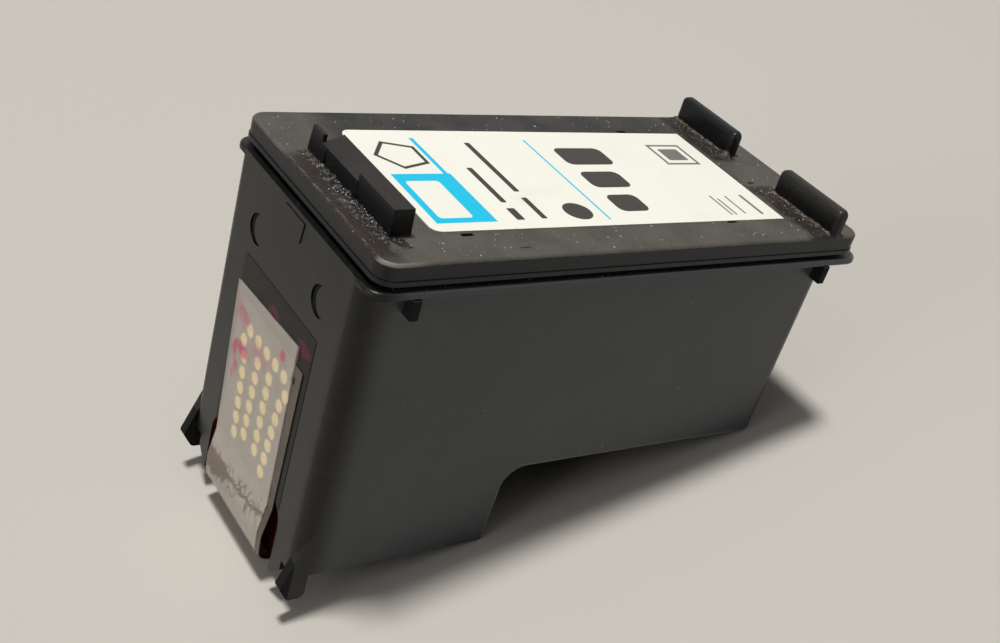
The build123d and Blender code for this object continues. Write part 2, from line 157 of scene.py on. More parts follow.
floor_radius = 12.0
floor_sides = 96
angles = np.linspace(0, 2 * np.pi, floor_sides, endpoint=False)
rim = np.column_stack([floor_radius * np.cos(angles), floor_radius * np.sin(angles), 0 * angles])
floor_mesh = bpy.data.meshes.new("floor")
floor_mesh.from_pydata(rim.tolist(), [], [list(range(floor_sides))])
floor = bpy.data.objects.new("floor", floor_mesh)
bpy.context.scene.collection.objects.link(floor)

mid_cartridge = (0, 0, 0.02)
area_lamp("key", (0.03, 0.07, 1.25), mid_cartridge, 0.16, 13.4, (1.0, 0.985, 0.955))
area_lamp("fill", (-1.05, -0.10, 0.36), mid_cartridge, 0.6, 3.0, (1.0, 0.98, 0.96))

# %% [markdown]
# The world lights the scene from high up only. An even world would be simpler, but it would also
# light the gap under the raised case, which is dark in the photograph. The camera and the
# reflections see an even pale backdrop instead.

# %% World
dark_below = 0.6
zenith_strength = 0.40
backdrop_strength = 0.5


def dome(name, edge, zenith, backdrop):
    """A grey world: dark up to the height edge, then rising evenly to zenith as a light.

    Camera, glossy and transmission rays see the even strength backdrop instead.
    """
    world = bpy.data.worlds.new(name)
    world.use_nodes = True
    tree = world.node_tree
    direction = tree.nodes.new("ShaderNodeTexCoord")
    height = tree.nodes.new("ShaderNodeSeparateXYZ")
    tree.links.new(direction.outputs["Generated"], height.inputs[0])
    strength = tree.nodes.new("ShaderNodeMapRange")
    tree.links.new(height.outputs["Z"], strength.inputs["Value"])
    strength.inputs["From Min"].default_value = edge
    strength.inputs["To Max"].default_value = zenith
    ray = tree.nodes.new("ShaderNodeLightPath")
    seen = ray.outputs["Is Camera Ray"]
    for kind in ("Is Glossy Ray", "Is Transmission Ray"):
        either = tree.nodes.new("ShaderNodeMath")
        either.operation = "MAXIMUM"
        tree.links.new(seen, either.inputs[0])
        tree.links.new(ray.outputs[kind], either.inputs[1])
        seen = either.outputs[0]
    chosen = tree.nodes.new("ShaderNodeMix")
    tree.links.new(seen, chosen.inputs["Factor"])
    tree.links.new(strength.outputs["Result"], chosen.inputs["A"])
    chosen.inputs["B"].default_value = backdrop
    background = tree.nodes["Background"]
    background.inputs["Color"].default_value = (1.0, 1.0, 1.0, 1)
    tree.links.new(chosen.outputs["Result"], background.inputs["Strength"])
    print("world", name, "lights above", edge, "with up to", zenith, "and shows", backdrop)
    return world


bpy.context.scene.world = dome("studio", dark_below, zenith_strength, backdrop_strength)
bpy.context.scene.view_settings.view_transform = "Standard"

# %% [markdown]
# ## A small kit for painting with nodes
#
# Each finish is a tree of nodes that starts from the place on the object. Written out, even a
# short tree is long, so this class holds the few steps that all of them share: the place in the
# level frame, arithmetic, smooth steps, noise, spots and mixing. A pattern built from the place
# alone stays put from every side, and it bakes. A mask is a value from 0 to 1 that says where
# something shows: the product of masks is where all of them do, and the largest where any does.


# %% The painting kit
class Paint:
    """A material whose nodes are made by short calls. Values are sockets or plain numbers."""

    def __init__(self, name):
        self.material = bpy.data.materials.new(name)
        self.material.use_nodes = True
        self.tree = self.material.node_tree
        self.shader = self.tree.nodes["Principled BSDF"]
        coordinates = self.tree.nodes.new("ShaderNodeTexCoord")
        self.level = self.mapped(coordinates.outputs["Object"], -level_origin / MM, (0, -tilt, 0), 1 / MM)
        self.x, self.y, self.z = self.split(self.level)

    def join(self, value, socket):
        """Sets a socket to a number or a colour, or links it to another socket."""
        if isinstance(value, bpy.types.NodeSocket):
            self.tree.links.new(value, socket)
        else:
            socket.default_value = (*value, 1) if isinstance(value, tuple) else value

    def mapped(self, start, shift, turn, scale):
        """A place that is scaled, then turned, then shifted."""
        mapping = self.tree.nodes.new("ShaderNodeMapping")
        self.join(start, mapping.inputs["Vector"])
        mapping.inputs["Location"].default_value = shift
        mapping.inputs["Rotation"].default_value = turn
        mapping.inputs["Scale"].default_value = (scale, scale, scale)
        return mapping.outputs[0]

    def split(self, place):
        """The x, y and z of a place."""
        node = self.tree.nodes.new("ShaderNodeSeparateXYZ")
        self.join(place, node.inputs[0])
        return node.outputs

    def calc(self, operation, *values):
        """One Math node."""
        node = self.tree.nodes.new("ShaderNodeMath")
        node.operation = operation
        for value, socket in zip(values, node.inputs):
            self.join(value, socket)
        return node.outputs[0]

    def fold(self, operation, values):
        """Math nodes of one kind in a row, until a single value is left."""
        result = values[0]
        for value in values[1:]:
            result = self.calc(operation, result, value)
        return result

    def times(self, *values):
        """The product of values."""
        return self.fold("MULTIPLY", values)

    def most(self, *values):
        """The largest of values."""
        return self.fold("MAXIMUM", values)

    def linear(self, value, slope, start):
        """slope times a value, plus start."""
        return self.calc("MULTIPLY_ADD", value, slope, start)

    def apart(self, first, second):
        """How far two values are from each other: |first - second|."""
        return self.calc("ABSOLUTE", self.calc("SUBTRACT", first, second))

    def length(self, first, second):
        """The length of a step along two axes: the root of first squared plus second squared."""
        squares = [self.calc("POWER", value, 2.0) for value in (first, second)]
        return self.calc("SQRT", self.calc("ADD", *squares))

    def ramp(self, value, low, high):
        """0 below low and 1 above high, with a smooth step between; low may be the larger."""
        node = self.tree.nodes.new("ShaderNodeMapRange")
        node.interpolation_type = "SMOOTHSTEP"
        self.join(value, node.inputs["Value"])
        node.inputs["From Min"].default_value = min(low, high)
        node.inputs["From Max"].default_value = max(low, high)
        node.inputs["To Min"].default_value = 0.0 if low < high else 1.0
        node.inputs["To Max"].default_value = 1.0 if low < high else 0.0
        return node.outputs["Result"]

    def noise(self, size, detail=3.0, roughness=0.5):
        """Soft noise around 0.5, with blotches of about size millimetres."""
        node = self.tree.nodes.new("ShaderNodeTexNoise")
        self.join(self.level, node.inputs["Vector"])
        node.inputs["Scale"].default_value = 1 / size
        node.inputs["Detail"].default_value = detail
        node.inputs["Roughness"].default_value = roughness
        return node.outputs["Fac"]

    def specks(self, spacing, radius, share):
        """Small round dots, one in each cell of a random pattern; only a share of them shows."""
        node = self.tree.nodes.new("ShaderNodeTexVoronoi")
        self.join(self.level, node.inputs["Vector"])
        node.inputs["Scale"].default_value = 1 / spacing
        inside = self.ramp(node.outputs["Distance"], radius / spacing, 0.5 * radius / spacing)
        pick = self.tree.nodes.new("ShaderNodeSeparateColor")
        self.join(node.outputs["Color"], pick.inputs[0])
        return self.times(inside, self.ramp(pick.outputs[0], share, share - 0.02))

    def mix(self, first, second, factor):
        """The first colour where factor is 0 and the second where it is 1."""
        node = self.tree.nodes.new("ShaderNodeMix")
        node.data_type = "RGBA"
        self.join(factor, node.inputs["Factor"])
        for value, name in ((first, "A"), (second, "B")):
            self.join(value, next(s for s in node.inputs if s.name == name and s.type == "RGBA"))
        return next(s for s in node.outputs if s.type == "RGBA")

    def spot(self, centre, radii, wobble, soft=0.25, axes="yz"):
        """1 inside an ellipse and 0 outside it; noise of wobble radii makes its edge uneven."""
        far = self.length(*[self.calc("DIVIDE", self.apart(getattr(self, axis), middle), radius)
                            for axis, middle, radius in zip(axes, centre, radii)])
        ragged = self.times(self.calc("SUBTRACT", self.noise(1.1), 0.5), 4 * wobble)
        return self.ramp(self.calc("ADD", far, ragged), 1 + soft, 1 - soft)

    def bump(self, height, strength, distance):
        """Raises the surface by a height from 0 to 1 times distance millimetres."""
        node = self.tree.nodes.new("ShaderNodeBump")
        self.join(height, node.inputs["Height"])
        node.inputs["Strength"].default_value = strength
        node.inputs["Distance"].default_value = distance * MM
        self.join(node.outputs[0], self.shader.inputs["Normal"])

    def finish(self, colour, roughness, **sockets):
        """Sets the shader and returns the material."""
        self.join(colour, self.shader.inputs["Base Color"])
        self.join(roughness, self.shader.inputs["Roughness"])
        for name, value in sockets.items():
            self.shader.inputs[name.replace("_", " ")].default_value = value
        print("finish", self.material.name, "with", len(self.tree.nodes), "nodes")
        return self.material


def wear(node, material):
    """Gives a solid its finish."""
    nodes[node].data.materials.clear()
    nodes[node].data.materials.append(material)


print("patterns start at", (-level_origin / MM).round(2), "mm and are turned", round(degrees(-tilt), 2))

# %% [markdown]
# ## Case
#
# The case is moulded from black plastic with a fine satin grain. It is so dark that most of what
# is seen on it is the pale floor, reflected in its skin. A blacker colour would change little, so
# the shader's specular level is lowered, and smears vary how sharp the reflection is.
#
# The lower edges carry a painted highlight, a pale line. Its distance, in the side view, comes from
# the same belly, fillet and snout that the solid has.

# %% Edges of the case
snout_rear = 26.35
snout_heel = 25.8
snout_bottom = -43.5
belly_front = -31.9
belly_slope = -0.6 / 43.0
fillet = 3.1
fillet_end = snout_rear + fillet
fillet_foot = belly_front - fillet
seam = 0.1


def lower_edge(paint):
    """Distance, in the side view, to the lower edge of the case: belly, fillet, back of the snout.

    Each of the three counts on its own stretch. Past its end a ramp adds a millimetre to it.
    """
    belly = paint.apart(paint.z, paint.linear(paint.x, belly_slope, belly_front - belly_slope * snout_rear))
    belly = paint.calc("ADD", belly, paint.ramp(paint.x, fillet_end, fillet_end - seam))
    arc = paint.length(paint.apart(paint.x, fillet_end), paint.apart(paint.z, fillet_foot))
    arc = paint.calc("ADD", paint.apart(arc, fillet), paint.ramp(paint.x, fillet_end - seam, fillet_end))
    lean = (snout_rear - snout_heel) / (snout_bottom - belly_front)
    back = paint.apart(paint.linear(paint.z, lean, paint.x), snout_rear + lean * belly_front)
    back = paint.calc("ADD", back, paint.ramp(paint.z, fillet_foot, fillet_foot + seam))
    return paint.fold("MINIMUM", (belly, arc, back))


def painted_edge_highlight(paint, aside):
    """1 within a third of a millimetre of the lower edge, on both sides: where the painted highlight goes.
    """
    return paint.times(paint.ramp(lower_edge(paint), 0.45, 0.25), paint.ramp(aside, 14.95, 15.1))


print("fillet from x", snout_rear, "to", round(fillet_end, 2), "and z", fillet_foot, "to", belly_front)

# %% [markdown]
# Some parts of the moulding lie in shade: the two crescent marks in the front wall, the ears at
# its lower corners and the ribs under the flange. They are painted darker than the rest, and dull,
# so that they don't reflect the floor. Inside the pocket behind the bend of the film, old ink has
# dried to a dark red. The sides are painted a lighter bluish grey, as painted light, and the front
# wall lighter towards its bottom, as a painted reflection.

# %% Case plastic
crescent_places = ((7.9, -10.3), (-8.1, -9.8))
crescent_shift = (-1.15, 0.35)
crescent_radius = 1.9


def crescent(paint, y, z):
    """1 between a circle and the same circle shifted, in the front view."""
    circles = []
    for middle_y, middle_z in ((y, z), (y + crescent_shift[0], z + crescent_shift[1])):
        away = paint.length(paint.apart(paint.y, middle_y), paint.apart(paint.z, middle_z))
        circles.append(paint.ramp(away, crescent_radius + 0.05, crescent_radius - 0.05))
    return paint.times(circles[0], paint.calc("SUBTRACT", 1.0, circles[1]))


def in_crescents(paint):
    """1 in the crescent marks of the front wall."""
    front = paint.ramp(paint.x, -0.7, -0.8)
    return paint.times(front, paint.most(*[crescent(paint, y, z) for y, z in crescent_places]))


def on_ears(paint):
    """1 on the ears at the lower front corners."""
    return paint.times(paint.ramp(paint.x, -0.84, -0.95), paint.ramp(paint.z, -35.0, -36.0))


def on_ribs(paint, aside):
    """1 on the ribs under the flange."""
    return paint.times(paint.ramp(aside, 15.62, 15.66), paint.ramp(paint.z, -4.3, -4.45),
                       paint.ramp(paint.z, -7.2, -7.1))


def in_pocket(paint, aside):
    """1 inside the pocket behind the bend of the film."""
    return paint.times(paint.ramp(paint.x, -0.79, -0.7), paint.ramp(paint.x, 2.0, 1.0),
                       paint.ramp(paint.z, -36.6, -37.0), paint.ramp(aside, 10.2, 10.0))


def case_plastic():
    """Near black, with smears, painted light on the sides and low on the front, a painted highlight on the
    lower edges, and specks.
    """
    paint = Paint("case_plastic")
    aside = paint.calc("ABSOLUTE", paint.y)
    smears = paint.noise(7.0, 4, 0.6)
    colour = paint.mix((0.003, 0.0031, 0.0033), (0.010, 0.010, 0.0095), smears)

    # Painted reflection low on the front wall, painted light on the sides, grime in blotches on both
    low_front = paint.ramp(paint.linear(paint.y, 0.7, paint.z), -7.0, -30.0)
    paler_tint = paint.times(low_front, paint.ramp(aside, 14.0, 12.6), 0.7)
    colour = paint.mix(colour, (0.024, 0.024, 0.021), paler_tint)
    # Painted light: the sides are painted a lighter bluish grey than the front
    film = paint.mix((0.056, 0.061, 0.069), (0.088, 0.093, 0.101), smears)
    painted_side_light = paint.times(paint.ramp(aside, 15.45, 15.6), paint.ramp(paint.x, 0.8, 4.5))
    colour = paint.mix(colour, film, painted_side_light)
    grime = paint.ramp(paint.noise(2.2, 5, 0.65), 0.5, 0.75)
    colour = paint.mix(colour, (0.042, 0.041, 0.037), paint.times(grime, 0.2))
    # Painted highlight: a pale line along the lower edges
    colour = paint.mix(colour, (0.30, 0.31, 0.32), paint.times(painted_edge_highlight(paint, aside), 0.7))
    colour = paint.mix(colour, (0.10, 0.008, 0.006), in_pocket(paint, aside))
    dust = paint.most(paint.specks(1.5, 0.07, 0.35), paint.specks(4.5, 0.14, 0.5))
    colour = paint.mix(colour, (0.36, 0.35, 0.32), dust)

    # Parts in shade
    hollows = in_crescents(paint)
    ears = on_ears(paint)
    ribs = on_ribs(paint, aside)
    colour = paint.mix(colour, (0.0006, 0.0006, 0.0008), hollows)
    colour = paint.mix(colour, (0.002, 0.002, 0.0022), ears)
    colour = paint.mix(colour, (0.001, 0.001, 0.0014), ribs)
    dull = paint.most(hollows, paint.times(paint.most(ears, ribs), 0.85))
    roughness = paint.most(paint.linear(smears, 0.16, 0.25), dull)
    paint.bump(paint.noise(0.22, 2), 0.35, 0.02)
    return paint.finish(colour, roughness, Specular_IOR_Level=0.27)


wear("case", case_plastic())

# %% [markdown]
# ## Lid
#
# The lid is the same plastic, but it faces up, so it has a warm grey coat of dust. The coat is
# paler at both ends of the flat top and on its near side than elsewhere, and ends in an uneven
# line on the rounding of the edge. Ink has soaked into it before the latch and before the fins.
# The near front corner carries a painted highlight, and the rounding is polished.

# %% Dust, ink and wear on the lid
lid_chips = (
    ((64.0, -2.6), (0.55, 0.3)),
    ((62.8, -4.7), (0.4, 0.35)),
    ((18.6, -15.1), (0.9, 0.12)),
)


def flat_top(paint):
    """1 on the flat top, as far as the uneven line on the rounding."""
    ragged = paint.calc("ADD", paint.z, paint.linear(paint.noise(0.5, 3, 0.6), 0.3, -0.15))
    return paint.times(paint.ramp(ragged, -0.42, -0.2), paint.ramp(paint.z, 0.3, 0.05))


def dust_coat(paint, top, blotches):
    """How much the coat of dust hides of the plastic."""
    # Paler at both ends of the flat top and on its near side
    paler_parts = paint.most(paint.ramp(paint.y, 10.0, -12.0), paint.ramp(paint.x, 60.0, 64.0),
                       paint.ramp(paint.x, 10.0, 5.0))
    return paint.times(top, paint.linear(blotches, 0.3, paint.linear(paler_parts, 0.55, 0.08)))


def soaked_ink(paint, colour, top, aside):
    """Lays ink over a colour: before the latch, and before both fins."""
    clots = paint.ramp(paint.noise(0.3, 4, 0.7), 0.42, 0.66)
    reach = paint.linear(paint.noise(1.6, 4, 0.65), 5.0, paint.x)
    at_latch = paint.times(paint.ramp(reach, 5.9, 4.6), paint.ramp(paint.y, 8.0, 5.5), top, 0.9)
    ink = paint.mix((0.007, 0.005, 0.004), (0.050, 0.032, 0.025), clots)
    colour = paint.mix(colour, ink, at_latch)
    reach = paint.linear(paint.noise(2.0, 4, 0.65), 3.6, paint.x)
    at_fins = paint.times(paint.ramp(reach, 63.6, 65.2), paint.ramp(aside, 3.0, 4.2), top,
                          paint.ramp(paint.x, 67.2, 66.8), 0.92)
    ink = paint.mix((0.005, 0.004, 0.003), (0.026, 0.017, 0.012), clots)
    return paint.mix(colour, ink, at_fins)


def scuffs_and_corner_highlight(paint, colour, top):
    """Lays chips in the dust, a broken pale line behind the front edge and a painted highlight on the
    corner over it.
    """
    for centre, radii in lid_chips:
        chip = paint.times(paint.spot(centre, radii, 0.3, axes="xy"), top)
        colour = paint.mix(colour, (0.003, 0.003, 0.003), chip)
    line = paint.apart(paint.linear(paint.noise(1.2, 4, 0.7), 1.0, paint.x), 0.85)
    broken = paint.ramp(paint.noise(1.8, 3, 0.6), 0.45, 0.6)
    line = paint.times(paint.ramp(line, 0.16, 0.05), top, broken, 0.65)
    colour = paint.mix(colour, (0.13, 0.115, 0.095), line)
    # Painted highlight on the rounding of the near front corner
    corner = paint.times(paint.ramp(paint.z, -0.5, -0.3), paint.ramp(paint.z, 0.02, -0.06),
                         paint.ramp(paint.x, 7.0, 1.5), paint.ramp(paint.y, -14.6, -16.0))
    return paint.mix(colour, (0.30, 0.29, 0.25), paint.times(corner, 0.6))


print("lid from", level_points("lid").min(0).round(2), "to", level_points("lid").max(0).round(2))

# %% [markdown]
# The latch and the fins stand on the lid and are one moulding with it. Their sides are clean and
# black, the near fin is painted paler towards its top, and the top of the latch is dusty again.
# The latch has two halves. On one its top is a slope that stops at a level, and on the other it
# starts at that level and rises along the same slope.

# %% Lid plastic
latch_foot = (3.15, 2.3)
latch_slope = 0.38
latch_level = 3.27
latch_split = -4.0
# A height well past the latch: it takes the level out of a choice between lower and higher
far_off = 9.0


def latch_top(paint):
    """Height of the latch's top: the lower of slope and level past the split, else the higher."""
    slope = paint.linear(paint.x, latch_slope, latch_foot[1] - latch_slope * latch_foot[0])
    past = paint.ramp(paint.y, latch_split - 0.02, latch_split + 0.02)
    top = paint.calc("MINIMUM", slope, paint.linear(past, -far_off, latch_level + far_off))
    return paint.most(top, paint.linear(past, -far_off, latch_level))


def latch_dust(paint, blotches):
    """How much dust lies on the top of the latch."""
    over = paint.calc("SUBTRACT", paint.z, latch_top(paint))
    return paint.times(paint.ramp(over, -0.06, -0.02), paint.ramp(paint.x, 9.0, 8.0),
                       paint.ramp(paint.y, 4.66, 4.56), paint.linear(blotches, 0.5, 0.35))


def lid_plastic():
    """Black plastic under dust and soaked ink, painted lighter on its long sides, with a black latch and
    fins; the near fin paler towards its top and the latch dusty on top.
    """
    paint = Paint("lid_plastic")
    aside = paint.calc("ABSOLUTE", paint.y)
    top = flat_top(paint)
    blotches = paint.ramp(paint.noise(5.0, 5, 0.62), 0.3, 0.7)
    coat = dust_coat(paint, top, blotches)
    # Painted light: the lid's long sides are painted lighter than its front and top
    bare = paint.mix((0.003, 0.0043, 0.0058), (0.010, 0.0135, 0.0175), paint.ramp(aside, 16.6, 16.9))
    colour = paint.mix(bare, (0.105, 0.096, 0.080), coat)
    colour = soaked_ink(paint, colour, top, aside)
    colour = scuffs_and_corner_highlight(paint, colour, top)

    # Latch and fins: black at the foot; the near fin paler towards its top, the latch dusty on top
    foot = paint.times(paint.ramp(paint.z, 0.05, 0.3), paint.ramp(paint.z, 3.3, 1.6), 0.92)
    colour = paint.mix(colour, (0.0015, 0.0018, 0.0028), foot)
    # The near fin is painted paler from the middle of its height to its top
    near_fin = paint.times(paint.ramp(paint.z, 1.0, 4.0), paint.ramp(paint.x, 60.0, 62.0),
                           paint.ramp(paint.y, 2.0, -2.0))
    colour = paint.mix(colour, (0.020, 0.0185, 0.014), near_fin)
    dusty = latch_dust(paint, blotches)
    colour = paint.mix(colour, (0.028, 0.025, 0.021), dusty)

    dust = paint.most(paint.times(paint.specks(0.55, 0.05, 0.4), 0.5), paint.specks(2.1, 0.12, 0.4))
    colour = paint.mix(colour, (0.42, 0.39, 0.35), dust)
    roughness = paint.linear(paint.most(coat, dusty), 0.3, 0.36)
    rounding = paint.times(paint.ramp(paint.z, -0.5, -0.4), paint.ramp(paint.z, -0.02, -0.1))
    roughness = paint.linear(rounding, -0.12, roughness)
    paint.bump(paint.noise(0.25, 3), 0.4, 0.03)
    return paint.finish(colour, roughness, Specular_IOR_Level=0.3)


wear("lid", lid_plastic())

# %% [markdown]
# ## Label
#
# The label is a printed film. What is printed on it is kept to fields of colour and simple
# shapes: an outlined pentagon, a cyan line that widens into a field with a white panel, a dot, and
# plain bars. Each shape is a distance to its outline, worked out by a few Math nodes, with a
# smooth step where it crosses zero. That stays sharp at any size, where an image would not.

# %% Shapes on the label
label_turn = radians(-0.8)
label_centre = (35.47, 0.0)
print_shift = (0.15, -0.3)


class Label(Paint):
    """Paint whose x and y are turned with the label; shapes are in millimetres on it."""

    def __init__(self, name):
        super().__init__(name)
        centred = self.mapped(self.level, (-label_centre[0], -label_centre[1], 0), (0, 0, 0), 1)
        back = (label_centre[0] - print_shift[0], label_centre[1] - print_shift[1], 0)
        self.x, self.y, self.z = self.split(self.mapped(centred, back, (0, 0, -label_turn), 1))

    def inside(self, distance):
        """1 where a distance is below zero, with an edge a tenth of a millimetre wide."""
        return self.ramp(distance, 0.05, -0.05)

    def box(self, x_range, y_range, corner=0.0):
        """Distance to a rectangle with round corners."""
        beyond = []
        for value, (low, high) in ((self.x, x_range), (self.y, y_range)):
            away = self.apart(value, (low + high) / 2)
            beyond.append(self.calc("SUBTRACT", away, (high - low) / 2 - corner))
        outside = self.length(*[self.most(value, 0.0) for value in beyond])
        within = self.calc("MINIMUM", self.most(*beyond), 0.0)
        return self.calc("SUBTRACT", self.calc("ADD", outside, within), corner)

    def disc(self, centre, radius):
        """Distance to a circle."""
        away = self.length(self.apart(self.x, centre[0]), self.apart(self.y, centre[1]))
        return self.calc("SUBTRACT", away, radius)

    def polygon(self, centre, radius, sides, first_angle):
        """Distance to a regular polygon: the furthest of its sides, seen from the centre."""
        beyond = []
        for side in range(sides):
            angle = first_angle + (2 * side + 1) * np.pi / sides
            x = self.times(self.calc("SUBTRACT", self.x, centre[0]), cos(angle))
            y = self.times(self.calc("SUBTRACT", self.y, centre[1]), sin(angle))
            beyond.append(self.calc("ADD", x, y))
        return self.calc("SUBTRACT", self.most(*beyond), radius * cos(np.pi / sides))

    def outline(self, distance, width):
        """Distance to a line of some width that follows an outline on its inner side."""
        return self.calc("SUBTRACT", self.apart(distance, -width / 2), width / 2)


print("print turned", round(degrees(label_turn), 2), "degrees, round", label_centre)

# %% [markdown]
# The film is ivory with yellowed blotches. Under the key lamp its skin would wash the colours out,
# so its specular level is lowered too.

# %% Label print
ivory = (0.93, 0.93, 0.835)
yellowed = (0.86, 0.85, 0.73)
cyan = (0.0, 0.57, 0.86)
print_brown = (0.045, 0.036, 0.030)


def label_print():
    """Ivory film with the generic print."""
    paint = Label("label_print")
    colour = paint.mix(ivory, yellowed, paint.ramp(paint.noise(9.0, 4), 0.55, 0.8))

    cyan_shapes = [
        paint.box((17.35, 17.95), (0.0, 10.0)),
        paint.box((10.35, 18.25), (-9.7, 1.25)),
        paint.box((33.8, 34.1), (-10.1, 9.7)),
    ]
    for shape in cyan_shapes:
        colour = paint.mix(colour, cyan, paint.inside(shape))
    white_panel = paint.box((11.3, 15.7), (-8.65, -0.4), 0.5)
    colour = paint.mix(colour, ivory, paint.inside(white_panel))

    dark_shapes = [
        paint.outline(paint.polygon((14.04, 5.79), 3.55, 5, np.pi), 0.5),
        paint.disc((30.5, -8.0), 1.9),
        paint.box((21.0, 22.1), (-9.5, -6.9), 0.2),
        paint.box((21.2, 22.0), (-5.6, 2.6), 0.2),
        paint.box((24.5, 25.3), (-9.4, -4.6), 0.2),
        paint.box((24.5, 25.3), (-3.2, 8.9), 0.2),
        paint.box((36.9, 44.4), (3.2, 7.6), 1.1),
        paint.box((36.9, 43.0), (-2.6, 1.4), 1.1),
        paint.box((36.9, 41.6), (-8.4, -4.4), 1.1),
    ]
    for shape in dark_shapes:
        colour = paint.mix(colour, print_brown, paint.inside(shape))

    faint_shapes = [
        paint.outline(paint.box((53.2, 59.0), (3.1, 8.6)), 0.45),
        paint.box((54.4, 57.8), (4.3, 7.4), 0.3),
        paint.box((53.5, 53.8), (-10.0, -5.2)),
        paint.box((54.3, 54.6), (-10.0, -6.0)),
        paint.box((56.0, 56.3), (-9.8, -5.4)),
        paint.box((58.7, 59.2), (-10.1, -5.2)),
    ]
    for shape in faint_shapes:
        colour = paint.mix(colour, print_brown, paint.times(paint.inside(shape), 0.85))
    paint.bump(paint.noise(1.6, 2), 0.12, 0.02)
    return paint.finish(colour, 0.38, Specular_IOR_Level=0.3)


wear("label", label_print())

# %% [markdown]
# ## Circuit and contacts
#
# The circuit is a brown film with gold contacts, and it is stuck to the case with a darker one. A
# pale tape still covers most of it. Under the tape both films look paler and greyer than its milk
# alone makes them, so they are painted with a haze there, up to the tape's edges.

# %% Circuit film, gold and adhesive
# Each long edge of the tape: y and z of its upper end, and how far y moves for each millimetre of z
tape_near_edge = (-6.4, -16.8, 1.0 / 30.44)
tape_far_edge = (9.4, -17.8, 1.7 / 29.44)
bond_stains = (((0.47, -16.84), (1.5, 0.7)), ((-7.5, -16.6), (1.3, 0.8)))


def under_tape(paint):
    """1 under the tape and 0 beside it: inside both long edges and below the upper one."""
    near_y, near_z, near_lean = tape_near_edge
    far_y, far_z, far_lean = tape_far_edge
    near_line = paint.linear(paint.z, near_lean, near_y - near_lean * near_z)
    far_line = paint.linear(paint.z, far_lean, far_y - far_lean * far_z)
    slope = (far_z - near_z) / (far_y - near_y)
    upper_line = paint.linear(paint.y, slope, near_z - slope * near_y)
    inside = paint.fold("MINIMUM", (
        paint.calc("SUBTRACT", paint.y, near_line),
        paint.calc("SUBTRACT", far_line, paint.y),
        paint.calc("SUBTRACT", upper_line, paint.z),
    ))
    return paint.ramp(inside, 0.0, 0.1)


def film_brown():
    """Polyimide film, brown and glossy, darker where ink has crept under it."""
    paint = Paint("polyimide_film")
    creep = paint.ramp(paint.noise(2.4, 4, 0.6), 0.42, 0.7)
    colour = paint.mix((0.085, 0.066, 0.050), (0.045, 0.032, 0.026), creep)
    paler_tint = paint.mix((0.27, 0.235, 0.195), (0.20, 0.17, 0.14), creep)
    colour = paint.mix(colour, paler_tint, under_tape(paint))
    return paint.finish(colour, 0.28, Specular_IOR_Level=0.55)


def contact_gold():
    """Gold plating, a little dull."""
    paint = Paint("contact_gold")
    colour = paint.mix((1.0, 0.84, 0.42), (0.92, 0.74, 0.32), paint.noise(0.8))
    return paint.finish(colour, 0.45)


def bond_dark():
    """Adhesive film round the circuit: dark brown, with a painted shadow along the circuit's edge."""
    paint = Paint("bond_film")
    colour = paint.mix((0.005, 0.0048, 0.0045), (0.013, 0.010, 0.009), paint.noise(3.0, 4, 0.6))
    colour = paint.mix(colour, (0.20, 0.175, 0.15), under_tape(paint))
    for centre, radii in bond_stains:
        stain = paint.times(paint.spot(centre, radii, 0.35), 0.8)
        colour = paint.mix(colour, (0.11, 0.010, 0.035), stain)
    # Painted shadow: a dark line along the near edge of the circuit, below its top
    line = paint.times(paint.ramp(paint.apart(paint.y, -8.5), 0.22, 0.12),
                       paint.ramp(paint.z, -19.0, -19.4))
    colour = paint.mix(colour, (0.004, 0.003, 0.003), line)
    return paint.finish(colour, 0.33, Specular_IOR_Level=0.15)


wear("flex_film", film_brown())
wear("contact_pads", contact_gold())
wear("circuit_bond", bond_dark())

# %% [markdown]
# ## Tape
#
# The tape is milky, but clear enough for the contacts to show through. A film can be given true
# transmission, but for a thing a tenth of a millimetre thick, opacity does the same and stays
# clean in the export. A ray meets both faces of the film. Round the bend each face hides some. On
# the flat stretch the inner face touches the contacts, so only the outer one hides anything, and
# as much as both do elsewhere.

# %% Tape
tape_middle = -1.07
bend_top = -38.3
cover_of_each = 0.19
cover_of_outer = 0.35
magenta_stains = (
    ((6.4, -21.2), (1.6, 1.2), 0.55),
    ((8.2, -20.6), (0.9, 1.3), 0.35),
    ((5.5, -25.4), (1.7, 0.9), 0.9),
    ((7.5, -26.2), (0.7, 1.3), 0.85),
    ((6.6, -28.2), (0.6, 0.9), 0.8),
    ((7.1, -29.6), (0.4, 0.7), 0.7),
    ((-3.7, -19.8), (0.75, 0.75), 0.85),
    ((1.5, -23.2), (2.4, 1.2), 0.35),
    ((-3.8, -24.1), (0.7, 0.6), 0.3),
)


def brown_band(paint):
    """1 on the brown scribble at the bend, which wanders and widens to the far side, and its creases."""
    wander = paint.linear(paint.noise(1.3, 3, 0.6), 2.6, -1.3)
    middle = paint.calc("ADD", paint.linear(paint.y, -0.16, -41.85), wander)
    away = paint.apart(paint.z, middle)
    half_width = paint.linear(paint.ramp(paint.y, 1.0, 6.5), 1.35, 0.32)
    creases = paint.times(paint.ramp(paint.apart(paint.noise(1.5, 0), 0.5), 0.045, 0.02),
                          paint.ramp(away, 1.9, 1.3))
    return paint.most(paint.ramp(paint.calc("SUBTRACT", away, half_width), 0.25, -0.15), creases)


def tape_cover(paint, marks):
    """How much a face of the tape hides: by its place, and up to 1 + 0.7 marks times as much."""
    flat = paint.ramp(paint.z, bend_top - 0.5, bend_top)
    outer = paint.ramp(paint.x, tape_middle + 0.01, tape_middle - 0.01)
    added_on_flat = paint.linear(outer, cover_of_outer, -cover_of_each)
    cover = paint.linear(flat, added_on_flat, cover_of_each)
    return paint.times(cover, paint.linear(marks, 0.7, 1.0))


